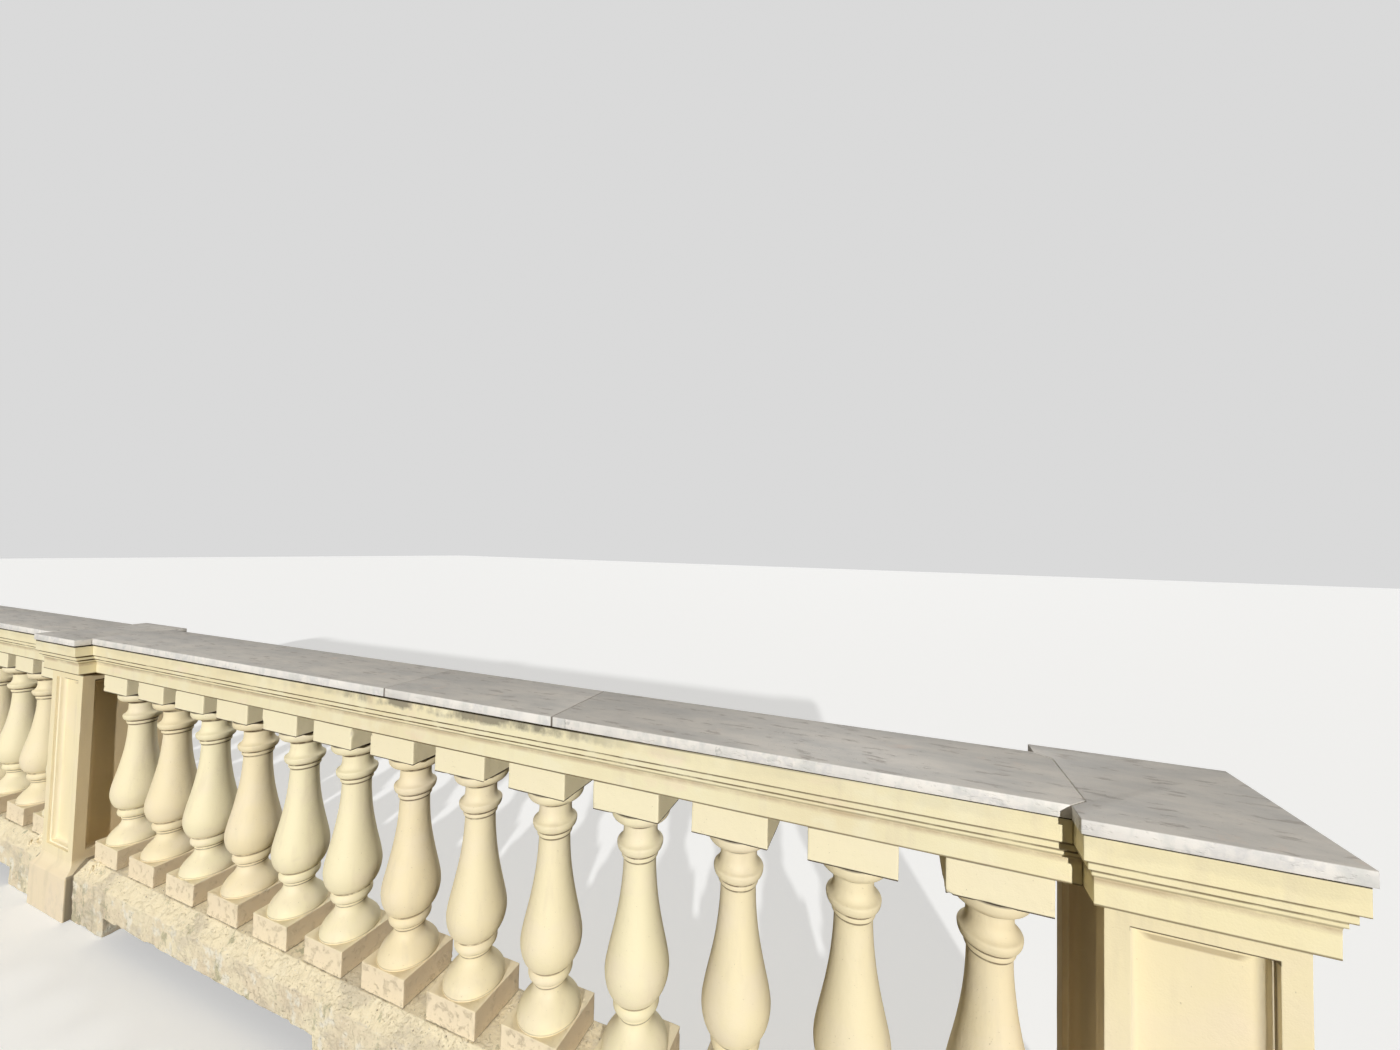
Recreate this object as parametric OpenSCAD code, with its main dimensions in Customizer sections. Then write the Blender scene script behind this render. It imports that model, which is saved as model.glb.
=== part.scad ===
// Stone balustrade of a villa terrace: two whole bays of thirteen cast balusters
// between three panelled piers, on a rendered kerb with drain slots, under a
// moulded rail and a thin marble coping. Row along X, terrace side -Y, ground z = 0.

/* [Row] */
// Distance from one baluster axis to the next
pitch = 232.5; // [200:0.5:260]
// Balusters in one bay
balusters_per_bay = 13; // [5:1:17]
// Free width between a pier's base block and the nearest plinth
end_gap = 31.5; // [10:0.5:60]

/* [Pier] */
// Half width of the square base block
base_half = 136; // [125:1:160]
// Height of the base block below its splayed top
base_block_h = 150; // [100:1:170]
// Half width of the square shaft
shaft_half = 114; // [95:1:122]
// Width of the flush border beside each sunken panel
panel_border = 32; // [12:1:40]
// Height of the flush band above and below each panel
panel_band = 30; // [15:1:60]
// Depth of the square step round a panel
panel_step = 9; // [3:0.5:12]
// Width of the ledge between that step and the hollow moulding
panel_ledge = 4; // [2:0.5:8]
// Width of the hollow moulding that runs down to the panel
panel_hollow = 13; // [6:1:20]
// Depth of the sunken panels
panel_depth = 24; // [15:1:32]
// Projection of the cap's lower fascia beyond the shaft
cap_out = 18; // [6:1:30]

/* [Kerb] */
// Half depth of the kerb between its upright faces
kerb_half = 117; // [100:1:124]
// Flat strip of the kerb's top left outside the plinths
plinth_ledge = 2; // [0:0.5:12]
// Height of the kerb's upright faces
kerb_face_h = 154; // [120:1:170]
// Height of the kerb's flat top, where the pier shafts start too
kerb_h = 192; // [180:1:240]
// Height of the drain slots
slot_h = 65; // [20:1:90]
// Length of solid kerb between a pier and the nearest slot
end_foot = 221; // [120:1:320]
// Length of solid kerb between the two slots of a bay
middle_foot = 396; // [150:1:600]

/* [Baluster] */
// Width of the square plinth
plinth_w = 155; // [140:1:180]
// Height of the square plinth
plinth_h = 71; // [40:1:95]
// Margin of the plinth left outside the bell
bell_margin = 2.5; // [0.5:0.5:10]
// Height of the bell between the plinth and its neck
bell_h = 70; // [56:1:78]
// Largest radius of the pear-shaped body
belly_r = 72.8; // [62:0.2:76]
// Height of the widest part of the body above the plinth
belly_z = 174; // [155:1:195]
// Radius of the neck
neck_r = 38.5; // [30:0.5:46]
// Height of the neck and its ring, from the body to the abacus
neck_h = 128; // [116:1:140]
// Projection of the two rings beyond the neck
ring_out = 13; // [8:0.5:18]
// Width of the square abacus
abacus_w = 158; // [140:1:176]
// Height of the square abacus
abacus_h = 66; // [45:1:80]
// Margin of the abacus left outside the echinus
echinus_margin = 12; // [6:0.5:18]

/* [Rail and coping] */
// Height of the rail's soffit above the ground
rail_z = 869; // [800:1:980]
// Height of the moulded rail and of the pier caps
rail_h = 109; // [95:1:150]
// Half depth of the rail at its lower fascia
rail_half = 88.5; // [88:0.5:100]
// Height of the lower fascia
lower_fascia_h = 37; // [25:1:45]
// Height of the hollow moulding above the lower fascia
hollow_h = 7; // [4:1:12]
// Height of the lower fillet
low_fillet_h = 10; // [5:1:14]
// Height of the upper fillet
high_fillet_h = 15; // [8:1:18]
// Projection of the lower fillet beyond the lower fascia
hollow_out = 4; // [2:0.5:6]
// Projection of the upper fillet beyond the lower one
fillet_out = 6; // [2:0.5:9]
// Projection of the upper fascia beyond the upper fillet
fascia_out = 7.5; // [3:0.5:12]
// Thickness of the marble slabs
slab_t = 22; // [15:1:40]
// Overhang of the slabs past the upper fascia
slab_out = 4; // [1:0.5:20]
// Width of the joints between slabs
slab_joint = 1.5; // [0.5:0.5:4]
// Distance that each long slab is let into a pier's slab
slab_notch = 25; // [10:1:40]
// First slab joint of a bay, measured from the pier on its left
first_joint = 1645; // [900:1:1700]
// Second slab joint of a bay, measured from the same pier
second_joint = 2166; // [1800:1:2500]

/* [Hidden] */
$fn = 72;
n = balusters_per_bay;
first_x = base_half + end_gap + plinth_w / 2;
bay = (n - 1) * pitch + 2 * first_x;
kerb_top_half = plinth_w / 2 + plinth_ledge;
slot_start = base_half + end_foot;
slot_len = (bay - 2 * slot_start - middle_foot) / 2;
cap_half = shaft_half + cap_out;
slab_z = rail_z + rail_h;
coping_half = rail_half + hollow_out + fillet_out + fascia_out + slab_out;
pier_slab_half = cap_half + hollow_out + fillet_out + fascia_out + slab_out;
bal_h = rail_z - kerb_h;
cutter = 1;

cream = [0.93, 0.89, 0.76];
render = [0.85, 0.80, 0.68];
marble = [0.86, 0.86, 0.86];

function bez(a, b, c, d, k) = [for (i = [0 : k]) let (t = i / k, u = 1 - t)
    u * u * u * a + 3 * u * u * t * b + 3 * u * t * t * c + t * t * t * d];

// A closed outline from the points of its right half, listed upwards
function both_sides(p) = concat(p, [for (i = [len(p) - 1 : -1 : 0]) [-p[i][0], p[i][1]]]);

// Mouldings of the rail and the pier caps, from the soffit up, for a lower fascia at the given half depth
function moulding(half) = let (
    a = half + hollow_out, b = a + fillet_out, c = b + fascia_out,
    z1 = lower_fascia_h, z2 = z1 + hollow_h, z3 = z2 + low_fillet_h, z4 = z3 + high_fillet_h)
    concat([[half, 0]], bez([half, z1], [half, z1 + 0.8 * hollow_h], [half + 0.3 * hollow_out, z2], [a, z2], 6),
        [[a, z3], [b, z3], [b, z4], [c, z4], [c, rail_h]]);

// A bar of the rail's section along X
module rail_bar(half, x0, x1) {
    translate([x0, 0, rail_z]) rotate([90, 0, 90]) linear_extrude(x1 - x0) polygon(both_sides(moulding(half)));
}

// The same mouldings carried round a square pier, mitred at its corners
module cap_body(x) {
    translate([x, 0, 0]) intersection() {
        rail_bar(cap_half, -pier_slab_half, pier_slab_half);
        rotate([0, 0, 90]) rail_bar(cap_half, -pier_slab_half, pier_slab_half);
    }
}

// Base block whose top flares in to the shaft, mitred at its corners
module base_body(x) {
    rise = kerb_h - base_block_h;
    side = concat([[base_half, 0]], bez([base_half, base_block_h], [base_half - 8, base_block_h + 0.2 * rise],
        [shaft_half, base_block_h + 0.45 * rise], [shaft_half, kerb_h], 9));
    translate([x, 0, 0]) intersection() {
        translate([-base_half - cutter, 0, 0]) rotate([90, 0, 90])
            linear_extrude(2 * (base_half + cutter)) polygon(both_sides(side));
        translate([0, base_half + cutter, 0]) rotate([90, 0, 0])
            linear_extrude(2 * (base_half + cutter)) polygon(both_sides(side));
    }
}

// Half outline of a panel's recess: half width at each depth, from the panel out to the pier's face
function recess(half) = let (ledge = half - panel_ledge, flat = ledge - panel_hollow)
    concat(bez([flat, -panel_depth], [flat + 0.5 * panel_hollow, -panel_depth],
        [ledge, -panel_depth + 0.35 * (panel_depth - panel_step)], [ledge, -panel_step], 6),
        [[half, -panel_step], [half, cutter]]);

// Tool that cuts one panel into the face at +Y, its stepped moulding mitred at the corners
module panel_cut() {
    w = shaft_half - panel_border;
    h = (rail_z - kerb_h) / 2 - panel_band;
    translate([0, shaft_half, (rail_z + kerb_h) / 2]) intersection() {
        translate([0, 0, -h]) linear_extrude(2 * h) polygon(both_sides(recess(w)));
        translate([-w, 0, 0]) rotate([90, 0, 90]) linear_extrude(2 * w)
            polygon([for (p = both_sides(recess(h))) [p[1], p[0]]]);
    }
}

module pier_base(x) {
    color(cream) base_body(x);
}

module pier_shaft(x) {
    color(cream) translate([x, 0, 0]) difference() {
        translate([-shaft_half, -shaft_half, kerb_h]) cube([2 * shaft_half, 2 * shaft_half, bal_h]);
        for (a = [0 : 90 : 270]) rotate([0, 0, a]) panel_cut();
    }
}

module pier_cap(x) {
    color(cream) cap_body(x);
}

// Plan of a long slab, its ends let into the pier slabs with mitred corners and grown by a joint
module slab_plan(x, grow) {
    a = pier_slab_half;
    b = coping_half + grow;
    polygon([for (p = [[a - grow, -b], [a - slab_notch - grow, -b + slab_notch], [a - slab_notch - grow, b - slab_notch],
        [a - grow, b], [bay - a + grow, b], [bay - a + slab_notch + grow, b - slab_notch],
        [bay - a + slab_notch + grow, -b + slab_notch], [bay - a + grow, -b]]) [x + p[0], p[1]]]);
}

// Square slab that steps out over a pier and takes the ends of the long slabs
module pier_coping(x) {
    h = pier_slab_half;
    color(marble) translate([0, 0, slab_z]) linear_extrude(slab_t) difference() {
        translate([x - h, -h]) square(2 * h);
        if (x > -bay) slab_plan(x - bay, slab_joint);
        if (x < bay) slab_plan(x, slab_joint);
    }
}

module kerb(x) {
    color(render) difference() {
        translate([x, 0, 0]) rotate([90, 0, 90]) linear_extrude(bay)
            polygon(both_sides([[kerb_half, 0], [kerb_half, kerb_face_h], [kerb_top_half, kerb_h]]));
        for (sx = [slot_start, bay - slot_start - slot_len])
            translate([x + sx, -kerb_half - cutter, -cutter])
                cube([slot_len, 2 * (kerb_half + cutter), slot_h + cutter]);
        base_body(x);
        base_body(x + bay);
    }
}

module rail(x) {
    color(cream) difference() {
        rail_bar(rail_half, x, x + bay);
        cap_body(x);
        cap_body(x + bay);
    }
}

// Three slabs to a bay, with an open joint between each two
module coping(x) {
    color(marble) translate([0, 0, slab_z]) linear_extrude(slab_t) difference() {
        slab_plan(x, 0);
        for (j = [first_joint, second_joint])
            translate([x + j - slab_joint / 2, -coping_half - cutter])
                square([slab_joint, 2 * (coping_half + cutter)]);
    }
}

// Turned outline of a baluster from its plinth to its abacus, radius and height
low = plinth_h;
top = bal_h - abacus_h;
bell_r = plinth_w / 2 - bell_margin;
ring_r = neck_r + ring_out;
fillet_r = neck_r + 3;
bead_r = neck_r + 5;
bell_top = low + bell_h;
neck_low = top - neck_h;
bowl_r = abacus_w / 2 - echinus_margin;
foot_ring = concat([[neck_r, bell_top + 6.5], [fillet_r, bell_top + 7.5], [fillet_r, bell_top + 12.5],
    [fillet_r - 1.5, bell_top + 14.5]],
    bez([bead_r, bell_top + 16], [ring_r + 3.5, bell_top + 19], [ring_r + 3.5, bell_top + 40],
        [bead_r + 1, bell_top + 44.5], 8));
body = concat(
    bez([bead_r, bell_top + 46], [ring_r + 9, bell_top + 46], [belly_r, low + belly_z - 27],
        [belly_r, low + belly_z], 10),
    bez([belly_r, low + belly_z], [belly_r, low + belly_z + 37], [neck_r, neck_low - 120],
        [neck_r - 1.5, neck_low], 16));
neck_ring = concat([[neck_r - 0.5, neck_low + 8.5], [fillet_r, neck_low + 9.5], [fillet_r, neck_low + 19],
    [fillet_r - 1.5, neck_low + 21]],
    bez([bead_r, neck_low + 22.5], [ring_r - 1.5, neck_low + 24], [ring_r + 1, neck_low + 33],
        [ring_r + 1, neck_low + 41], 7),
    bez([ring_r + 0.5, neck_low + 43], [neck_r + 6, neck_low + 45], [neck_r + 0.5, neck_low + 54],
        [neck_r, neck_low + 65], 7));
echinus = concat([[neck_r, top - 44], [bead_r, top - 41], [bead_r, top - 37], [bead_r + 3, top - 36.5]],
    bez([bead_r + 3, top - 36.5], [bowl_r - 5, top - 34.5], [bowl_r + 1.5, top - 24], [bowl_r, top - 12], 8),
    [[bowl_r - 3, top - 4], [bowl_r - 3, top]]);
outline = concat(
    [[0, low], [bell_r - 1, low], [bell_r, low + 2], [bell_r, low + 5]],
    bez([bell_r, low + 5], [bell_r - 2.5, low + 0.5 * bell_h], [neck_r + 0.5, low + 0.66 * bell_h],
        [neck_r, bell_top], 12),
    foot_ring, body, neck_ring, echinus, [[0, top]]);

// Each baluster is cast in one piece, square at both ends
module baluster(x) {
    color(cream) translate([x, 0, kerb_h]) {
        translate([-plinth_w / 2, -plinth_w / 2, 0]) cube([plinth_w, plinth_w, plinth_h]);
        rotate_extrude() polygon(outline);
        translate([-abacus_w / 2, -abacus_w / 2, top]) cube([abacus_w, abacus_w, abacus_h]);
    }
}

module pier_base_1() pier_base(-bay);
module pier_base_2() pier_base(0);
module pier_base_3() pier_base(bay);
module pier_shaft_1() pier_shaft(-bay);
module pier_shaft_2() pier_shaft(0);
module pier_shaft_3() pier_shaft(bay);
module pier_cap_1() pier_cap(-bay);
module pier_cap_2() pier_cap(0);
module pier_cap_3() pier_cap(bay);
module pier_coping_1() pier_coping(-bay);
module pier_coping_2() pier_coping(0);
module pier_coping_3() pier_coping(bay);
module kerb_1() kerb(-bay);
module kerb_2() kerb(0);
module rail_1() rail(-bay);
module rail_2() rail(0);
module coping_1() coping(-bay);
module coping_2() coping(0);
module baluster_1_01() baluster(first_x - bay);
module baluster_1_02() baluster(first_x - bay + pitch);
module baluster_1_03() baluster(first_x - bay + 2 * pitch);
module baluster_1_04() baluster(first_x - bay + 3 * pitch);
module baluster_1_05() baluster(first_x - bay + 4 * pitch);
module baluster_1_06() baluster(first_x - bay + 5 * pitch);
module baluster_1_07() baluster(first_x - bay + 6 * pitch);
module baluster_1_08() baluster(first_x - bay + 7 * pitch);
module baluster_1_09() baluster(first_x - bay + 8 * pitch);
module baluster_1_10() baluster(first_x - bay + 9 * pitch);
module baluster_1_11() baluster(first_x - bay + 10 * pitch);
module baluster_1_12() baluster(first_x - bay + 11 * pitch);
module baluster_1_13() baluster(first_x - bay + 12 * pitch);
module baluster_2_01() baluster(first_x);
module baluster_2_02() baluster(first_x + pitch);
module baluster_2_03() baluster(first_x + 2 * pitch);
module baluster_2_04() baluster(first_x + 3 * pitch);
module baluster_2_05() baluster(first_x + 4 * pitch);
module baluster_2_06() baluster(first_x + 5 * pitch);
module baluster_2_07() baluster(first_x + 6 * pitch);
module baluster_2_08() baluster(first_x + 7 * pitch);
module baluster_2_09() baluster(first_x + 8 * pitch);
module baluster_2_10() baluster(first_x + 9 * pitch);
module baluster_2_11() baluster(first_x + 10 * pitch);
module baluster_2_12() baluster(first_x + 11 * pitch);
module baluster_2_13() baluster(first_x + 12 * pitch);

pier_base_1();
pier_base_2();
pier_base_3();
pier_shaft_1();
pier_shaft_2();
pier_shaft_3();
pier_cap_1();
pier_cap_2();
pier_cap_3();
pier_coping_1();
pier_coping_2();
pier_coping_3();
kerb_1();
kerb_2();
rail_1();
rail_2();
coping_1();
coping_2();
baluster_1_01();
baluster_1_02();
baluster_1_03();
baluster_1_04();
baluster_1_05();
baluster_1_06();
baluster_1_07();
baluster_1_08();
baluster_1_09();
baluster_1_10();
baluster_1_11();
baluster_1_12();
baluster_1_13();
baluster_2_01();
baluster_2_02();
baluster_2_03();
baluster_2_04();
baluster_2_05();
baluster_2_06();
baluster_2_07();
baluster_2_08();
baluster_2_09();
baluster_2_10();
baluster_2_11();
baluster_2_12();
baluster_2_13();
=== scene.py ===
import math
import bmesh
import bpy
import numpy
from mathutils import Matrix, Vector


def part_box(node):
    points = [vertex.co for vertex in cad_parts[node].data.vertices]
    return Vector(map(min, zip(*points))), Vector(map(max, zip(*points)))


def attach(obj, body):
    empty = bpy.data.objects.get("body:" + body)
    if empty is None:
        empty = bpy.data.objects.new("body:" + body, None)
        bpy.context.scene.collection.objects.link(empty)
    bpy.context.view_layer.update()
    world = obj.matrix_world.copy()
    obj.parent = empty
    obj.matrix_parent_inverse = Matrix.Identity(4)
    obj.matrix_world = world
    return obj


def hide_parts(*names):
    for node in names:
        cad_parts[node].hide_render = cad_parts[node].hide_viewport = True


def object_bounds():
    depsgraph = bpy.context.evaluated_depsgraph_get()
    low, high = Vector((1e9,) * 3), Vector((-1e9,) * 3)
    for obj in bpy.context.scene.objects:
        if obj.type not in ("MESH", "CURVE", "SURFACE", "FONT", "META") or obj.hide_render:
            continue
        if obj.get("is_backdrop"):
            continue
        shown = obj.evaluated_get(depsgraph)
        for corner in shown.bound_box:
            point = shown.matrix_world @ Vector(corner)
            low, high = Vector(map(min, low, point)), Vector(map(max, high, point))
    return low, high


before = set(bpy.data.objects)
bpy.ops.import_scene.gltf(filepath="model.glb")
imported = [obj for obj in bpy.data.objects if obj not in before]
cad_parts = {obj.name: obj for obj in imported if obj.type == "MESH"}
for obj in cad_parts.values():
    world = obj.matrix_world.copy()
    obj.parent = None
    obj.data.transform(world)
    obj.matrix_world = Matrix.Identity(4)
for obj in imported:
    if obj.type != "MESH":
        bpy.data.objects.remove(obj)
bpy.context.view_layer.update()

# Kerb: the long foot of each bay, solid masonry under a rough lime render, splayed up to the balusters.
# It is built between the pier bases and keeps two long slots open at the ground for rain water.
# Its render is weathered: it swells, flakes and holds green and grey growth, and its arrises are chipped.
pier_places = [(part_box(f"pier_base_{k}")[0][0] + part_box(f"pier_base_{k}")[1][0]) / 2 for k in (1, 2, 3)]
bay = pier_places[2] - pier_places[1]
base_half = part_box("pier_base_2")[1][0]
shaft_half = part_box("pier_shaft_2")[1][0]
base_block_height = 0.150
base_flare_lip = 0.008
kerb_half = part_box("kerb_2")[1][1]
kerb_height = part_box("kerb_2")[1][2]
kerb_top_half = 0.0795
kerb_face_height = 0.154
kerb_flare_run = 0.09
slot_height = 0.065
slot_end_foot = 0.221
slot_middle_foot = 0.396
mortar_gap = 0.003
kerb_cell_along = 0.010
kerb_cell_across = 0.020
kerb_cell_low = 0.008
kerb_cell_high = 0.007
kerb_arris_cell = 0.0015
chip_softness = 0.05
hollow_mark = (0.0003, 0.0016)
arris_mark = (-0.0006, -0.002)
lime_pale = (0.95, 0.84, 0.59)
lime_worn = (0.85, 0.72, 0.51)
lime_wash = (0.94, 0.87, 0.70)
splay_lime = (0.98, 0.86, 0.60)
water_stain = (0.70, 0.61, 0.45)
green_growth = (0.47, 0.44, 0.27)
drip_brown = (0.45, 0.38, 0.27)
dark_grit = (0.34, 0.28, 0.19)
pale_grit = (0.95, 0.90, 0.76)
chipped_lime = (0.62, 0.55, 0.43)
# Painted shade and dirt for the kerb's hollows and creases:
hollow_dirt_and_shade = (0.26, 0.20, 0.13)
olive_growth = (0.42, 0.39, 0.25)
crack_dirt = (0.16, 0.12, 0.07)


def add(tree, kind, fed, out=0, **settings):
    """Adds a node with its settings, feeds it values or other nodes' outputs, and returns one of its own"""
    made = tree.nodes.new(kind)
    for key, value in settings.items():
        setattr(made, key, value)
    for name, value in fed.items():
        if isinstance(value, bpy.types.NodeSocket):
            tree.links.new(value, made.inputs[name])
        else:
            made.inputs[name].default_value = value
    return made.outputs[out]


def tree_of(values):
    """The tree that other nodes' outputs among these values belong to"""
    return next(value.id_data for value in values if isinstance(value, bpy.types.NodeSocket))


def reckon(operation, *values):
    """One step of arithmetic on numbers or other nodes' outputs"""
    return add(tree_of(values), "ShaderNodeMath", dict(enumerate(values)), operation=operation)


def between(value, low, high, first=0, last=1):
    """A share that goes from first, where the value is low, to last, where it is high"""
    return add(value.id_data, "ShaderNodeMapRange", {"Value": value, "From Min": low, "From Max": high,
               "To Min": first, "To Max": last})


def move(operation, *values):
    """One step of arithmetic on places and directions"""
    return add(tree_of(values), "ShaderNodeVectorMath", dict(enumerate(values)), operation=operation)


def longer(direction, by):
    """A direction made longer or shorter"""
    return add(direction.id_data, "ShaderNodeVectorMath", {0: direction, "Scale": by}, operation="SCALE")


def times(*values):
    """The product of several shares"""
    product = values[0]
    for value in values[1:]:
        product = reckon("MULTIPLY", product, value)
    return product


def bend(a, b, c, d, steps):
    """Points of a smooth bend from a to d, which leaves towards b and arrives from c"""
    share = numpy.linspace(0, 1, steps + 1)[:, None]
    rest = 1 - share
    corners = [numpy.array(p) for p in (a, b, c, d)]
    points = (rest ** 3 * corners[0] + 3 * rest ** 2 * share * corners[1]
              + 3 * rest * share ** 2 * corners[2] + share ** 3 * corners[3])
    return [tuple(p) for p in points.tolist()]


def spread(start, end, coarse, fine=0.001):
    """Places from start to end, close together near both ends, where arrises wear, and coarse between"""
    half = (end - start) / 2
    near, reach, step = [], 0, fine
    while step < coarse and reach + step < 0.9 * half:
        reach += step
        near.append(reach)
        step *= 1.8
    inner = max(1, round(2 * (half - reach) / coarse))
    middle = [start + reach + 2 * (half - reach) * i / inner for i in range(1, inner)]
    return [start] + [start + d for d in near] + middle + [end - d for d in reversed(near)] + [end]


def refined(outline, coarse, fine=0.0008):
    """The same outline with more points along its straight stretches"""
    rows = [outline[0]]
    for a, b in zip(outline, outline[1:]):
        length = math.dist(a, b)
        cuts = spread(0, length, coarse, fine)[1:] if length > 5 * fine else [length]
        rows += [tuple(p + (q - p) * cut / length for p, q in zip(a, b)) for cut in cuts]
    return rows


def patch(mesh, us, vs, place):
    """Adds a net of faces whose corners lie at place(u, v)"""
    rows = [[mesh.verts.new(place(u, v)) for u in us] for v in vs]
    for low, high in zip(rows, rows[1:]):
        for corners in zip(low, low[1:], high[1:], high):
            mesh.faces.new(corners)


def closed(mesh, name):
    """Welds the nets into one closed skin with its faces outwards"""
    bmesh.ops.remove_doubles(mesh, verts=mesh.verts, dist=1e-5)
    bmesh.ops.dissolve_degenerate(mesh, dist=1e-6, edges=mesh.edges)
    bmesh.ops.recalc_face_normals(mesh, faces=mesh.faces)
    data = bpy.data.meshes.new(name)
    mesh.to_mesh(data)
    mesh.free()
    return data


def ports(tree, inputs):
    """Names a tree's inputs, gives it one geometry output, and returns what is given and where it ends"""
    for name, kind, value in inputs:
        socket = tree.interface.new_socket(name, in_out="INPUT", socket_type=kind)
        if value is not None:
            socket.default_value = value
    tree.interface.new_socket("Stone", in_out="OUTPUT", socket_type="NodeSocketGeometry")
    tree.is_modifier = True
    return tree.nodes.new("NodeGroupInput").outputs, tree.nodes.new("NodeGroupOutput").inputs[0]


def ended(tree, stone, finish, end):
    """Ends a tree: every instance is made real and wears its finish"""
    stone = add(tree, "GeometryNodeRealizeInstances", {"Geometry": stone})
    stone = add(tree, "GeometryNodeSetMaterial", {"Geometry": stone, "Material": finish})
    tree.links.new(stone, end)
    return tree


def stored(shape, name, value):
    """A shape that keeps a number at each of its points under a name"""
    return add(shape.id_data, "GeometryNodeStoreNamedAttribute",
               {"Geometry": shape, "Name": name, "Value": value}, data_type="FLOAT", domain="POINT")


def weathering_tree():
    """Rounds and chips the arrises of a stone, swells its faces, and marks its hollows and chips"""
    tree = bpy.data.node_groups.new("weathering", "GeometryNodeTree")
    given, end = ports(tree, (
        ("Stone", "NodeSocketGeometry", None), ("Rounding", "NodeSocketInt", 2),
        ("Chip Depth", "NodeSocketInt", 10), ("Chip Limit", "NodeSocketFloat", 0.6),
        ("Chip Scale", "NodeSocketFloat", 30), ("Swelling", "NodeSocketFloat", 0.001),
        ("Swelling Scale", "NodeSocketFloat", 8), ("Seed", "NodeSocketFloat", 0),
        ("Finish", "NodeSocketMaterial", None)))
    place = add(tree, "GeometryNodeInputPosition", {})
    facing = add(tree, "GeometryNodeInputNormal", {})
    soft, deep = [add(tree, "GeometryNodeBlurAttribute", {"Value": place, "Iterations": given[wear]},
                      data_type="FLOAT_VECTOR") for wear in ("Rounding", "Chip Depth")]
    breaks, waves = [add(tree, "ShaderNodeTexNoise", {
        "Vector": place, "W": given["Seed"], "Scale": given[scale], "Detail": detail,
        "Roughness": roughness}, noise_dimensions="4D")
        for scale, detail, roughness in (("Chip Scale", 3, 0.6), ("Swelling Scale", 5, 0.55))]
    chip = between(reckon("SUBTRACT", breaks, given["Chip Limit"]), 0, chip_softness)
    worn = add(tree, "ShaderNodeMix", {0: chip, 4: soft, 5: deep}, 1, data_type="VECTOR")
    swell = times(reckon("SUBTRACT", waves, 0.5), given["Swelling"])
    settled = move("ADD", worn, longer(facing, swell))
    pull = move("SUBTRACT", deep, place)
    depth = add(tree, "ShaderNodeVectorMath", {0: pull, 1: facing}, "Value", operation="DOT_PRODUCT")
    stone = stored(given["Stone"], "hollow", between(depth, *hollow_mark))
    stone = stored(stone, "chipped", times(between(depth, *arris_mark), chip))
    stone = add(tree, "GeometryNodeSetPosition", {"Geometry": stone, "Position": settled})
    stone = add(tree, "GeometryNodeSetShadeSmooth", {"Geometry": stone})
    return ended(tree, stone, given["Finish"], end)


def grown(name, data, tree, sizes):
    """Runs a tree on a mesh and returns a piece that holds the plain result"""
    piece = bpy.data.objects.new(name, data)
    bpy.context.scene.collection.objects.link(piece)
    modifier = piece.modifiers.new(tree.name, "NODES")
    modifier.node_group = tree
    for socket in tree.interface.items_tree:
        if socket.item_type == "SOCKET" and socket.in_out == "INPUT" and socket.name in sizes:
            modifier[socket.identifier] = sizes[socket.name]
    graph = bpy.context.evaluated_depsgraph_get()
    plain = bpy.data.meshes.new_from_object(piece.evaluated_get(graph), preserve_all_data_layers=True,
                                            depsgraph=graph)
    piece.modifiers.remove(modifier)
    piece.data = plain
    return piece


def material_start(name, roughness):
    """A new material with its shader and the place on the object"""
    made = bpy.data.materials.new(name)
    made.use_nodes = True
    tree = made.node_tree
    shader = tree.nodes["Principled BSDF"]
    shader.inputs["Roughness"].default_value = roughness
    shader.inputs["Specular IOR Level"].default_value = 0.3
    place = add(tree, "ShaderNodeTexCoord", {}, "Object")
    return made, shader, place


def grain(place, lumps, detail=4, stretch=(1, 1, 1), roughness=0.55):
    """Soft noise of the given number of lumps in a metre, drawn out by stretch"""
    if stretch != (1, 1, 1):
        place = add(place.id_data, "ShaderNodeMapping", {"Vector": place, "Scale": stretch})
    return add(place.id_data, "ShaderNodeTexNoise", {"Vector": place, "Scale": lumps, "Detail": detail,
               "Roughness": roughness})


def spots(place, low, high, lumps, detail=4, stretch=(1, 1, 1), roughness=0.55):
    """A share that fills the spots where the grain is above low, wholly from high up"""
    return between(grain(place, lumps, detail, stretch, roughness), low, high)


def over(beneath, colour, share):
    """One colour laid over another"""
    base, top = [paint if isinstance(paint, bpy.types.NodeSocket) else (*paint, 1)
                 for paint in (beneath, colour)]
    return add(share.id_data, "ShaderNodeMix", {0: share, 6: base, 7: top}, 2, data_type="RGBA")


def washes(colour, layers):
    """Colours laid over one another, each where its share says and as strongly as its last number"""
    for top, share, strength in layers:
        colour = over(colour, top, times(share, strength))
    return colour


def axis(place, letter):
    """One coordinate of a place"""
    return add(place.id_data, "ShaderNodeSeparateXYZ", {0: place}, letter)


def marked(place, name):
    """A share that is stored on the stone at this place"""
    return add(place.id_data, "ShaderNodeAttribute", {}, "Fac", attribute_name=name)


def surface(shader, colour, bumps):
    """Gives the shader its colour, and bumps laid over one another, each a height and its depth in metres"""
    tree = shader.id_data
    tree.links.new(colour, shader.inputs["Base Color"])
    normal = None
    for height, depth in bumps:
        fed = {"Height": height, "Distance": depth, "Strength": 1}
        if normal:
            fed["Normal"] = normal
        normal = add(tree, "ShaderNodeBump", fed)
    tree.links.new(normal, shader.inputs["Normal"])


def from_axis(place):
    """Distances from the axis of the nearest pier: along the row, across it, and the larger of both"""
    nearest = reckon("WRAP", axis(place, "X"), -bay / 2, bay / 2)
    along, depth = [reckon("ABSOLUTE", value) for value in (nearest, axis(place, "Y"))]
    return along, depth, reckon("MAXIMUM", along, depth)


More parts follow.
